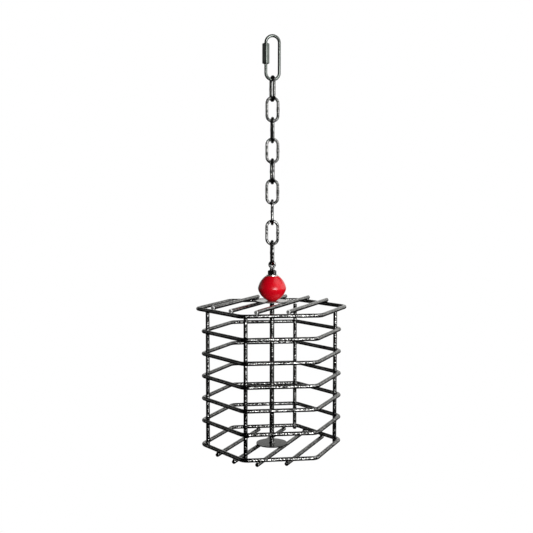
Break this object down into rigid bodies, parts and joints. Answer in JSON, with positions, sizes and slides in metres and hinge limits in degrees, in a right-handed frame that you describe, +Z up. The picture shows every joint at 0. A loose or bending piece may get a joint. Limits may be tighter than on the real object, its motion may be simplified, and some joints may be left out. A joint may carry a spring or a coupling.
{
  "type": "hanging bird feeder",
  "caption": "Hexagonal wire cage feeder for fat balls on a centre rod, with a wire lid held by a red ball, on a chain with a screw quick link.",
  "frame": {"origin": "on the centre rod's axis, level with the underside of the base bars", "axes": "+Z up along the centre rod, +X to a corner of the cage, -Y to the front flat of the cage"},
  "size_m": [0.162, 0.1458, 0.4401],
  "materials": {
    "silver_vein_coat": "silver-vein powder coat on steel wire, satin, dark grey with bright flecks",
    "coated_plate": "grey powder coat on sheet steel, satin",
    "plated_steel": "zinc plated, smooth and reflective",
    "bright_washer": "bright plated",
    "red_gloss": "gloss red"
  },
  "bodies": {
    "quick_link": {"quick_link": "plated_steel"},
    "sleeve": {"quick_link_sleeve": "plated_steel"},
    "link_1": {"chain_link_1": "silver_vein_coat"},
    "link_2": {"chain_link_2": "silver_vein_coat"},
    "link_3": {"chain_link_3": "silver_vein_coat"},
    "link_4": {"chain_link_4": "silver_vein_coat"},
    "link_5": {"chain_link_5": "silver_vein_coat"},
    "link_6": {"chain_link_6": "silver_vein_coat"},
    "link_7": {"chain_link_7": "silver_vein_coat"},
    "link_8": {"chain_link_8": "silver_vein_coat"},
    "link_9": {"chain_link_9": "silver_vein_coat"},
    "eye": {"hanging_eye": "silver_vein_coat", "eye_nut": "silver_vein_coat"},
    "cage": {"centre_rod": "silver_vein_coat", "cage_ring_1": "silver_vein_coat", "cage_ring_2": "silver_vein_coat", "cage_ring_3": "silver_vein_coat", "cage_ring_4": "silver_vein_coat", "cage_ring_5": "silver_vein_coat", "base_ring": "silver_vein_coat", "upright_left": "silver_vein_coat", "upright_front": "silver_vein_coat", "upright_right": "silver_vein_coat", "upright_back": "silver_vein_coat", "base_bar_1": "silver_vein_coat", "base_bar_2": "silver_vein_coat", "base_bar_3": "silver_vein_coat", "base_bar_4": "silver_vein_coat", "base_disc": "coated_plate"},
    "washer": {"washer": "bright_washer"},
    "ball": {"ball": "red_gloss"},
    "lid": {"lid_ring": "silver_vein_coat", "lid_bar_1": "silver_vein_coat", "lid_bar_2": "silver_vein_coat", "lid_bar_3": "silver_vein_coat", "lid_bar_4": "silver_vein_coat", "lid_disc": "coated_plate"}
  },
  "joints": [
    {"name": "sleeve_travel", "type": "slide", "parent": "quick_link", "child": "sleeve", "axis": [0, 0, -1], "range_m": [0, 0.009]},
    {"name": "link_1_swing", "type": "hinge", "parent": "quick_link", "child": "link_1", "pos_m": [0, 0, 0.3931], "axis": [1, 0, 0], "range_deg": [-25, 25]},
    {"name": "link_2_swing", "type": "hinge", "parent": "link_1", "child": "link_2", "pos_m": [0, 0, 0.3716], "axis": [-0.1736, 0.9848, 0], "range_deg": [-25, 25]},
    {"name": "link_3_swing", "type": "hinge", "parent": "link_2", "child": "link_3", "pos_m": [0, 0, 0.35], "axis": [1, 0, 0], "range_deg": [-25, 25]},
    {"name": "link_4_swing", "type": "hinge", "parent": "link_3", "child": "link_4", "pos_m": [0, 0, 0.3284], "axis": [0, 1, 0], "range_deg": [-25, 25]},
    {"name": "link_5_swing", "type": "hinge", "parent": "link_4", "child": "link_5", "pos_m": [0, 0, 0.3068], "axis": [1, 0, 0], "range_deg": [-25, 25]},
    {"name": "link_6_swing", "type": "hinge", "parent": "link_5", "child": "link_6", "pos_m": [0, 0, 0.2852], "axis": [-0.0523, 0.9986, 0], "range_deg": [-25, 25]},
    {"name": "link_7_swing", "type": "hinge", "parent": "link_6", "child": "link_7", "pos_m": [0, 0, 0.2636], "axis": [1, 0, 0], "range_deg": [-25, 25]},
    {"name": "link_8_swing", "type": "hinge", "parent": "link_7", "child": "link_8", "pos_m": [0, 0, 0.242], "axis": [0.1219, 0.9925, 0], "range_deg": [-25, 25]},
    {"name": "link_9_swing", "type": "hinge", "parent": "link_8", "child": "link_9", "pos_m": [0, 0, 0.2204], "axis": [1, 0, 0], "range_deg": [-25, 25]},
    {"name": "eye_swing", "type": "hinge", "parent": "link_9", "child": "eye", "pos_m": [0, 0, 0.1988], "axis": [0, 1, 0], "range_deg": [-25, 25]},
    {"name": "cage_drop", "type": "slide", "parent": "eye", "child": "cage", "axis": [0, 0, -1], "range_m": [0, 0.1]},
    {"name": "washer_lift", "type": "slide", "parent": "cage", "child": "washer", "axis": [0, 0, 1], "range_m": [0, 0.0861]},
    {"name": "ball_lift", "type": "slide", "parent": "cage", "child": "ball", "axis": [0, 0, 1], "range_m": [0, 0.0621]},
    {"name": "lid_lift", "type": "slide", "parent": "cage", "child": "lid", "axis": [0, 0, 1], "range_m": [0, 0.0381]}
  ],
  "couplings": [
    {"joint": "washer_lift", "follows": "cage_drop", "ratio": 0.86},
    {"joint": "ball_lift", "follows": "cage_drop", "ratio": 0.62},
    {"joint": "lid_lift", "follows": "cage_drop", "ratio": 0.38}
  ]
}
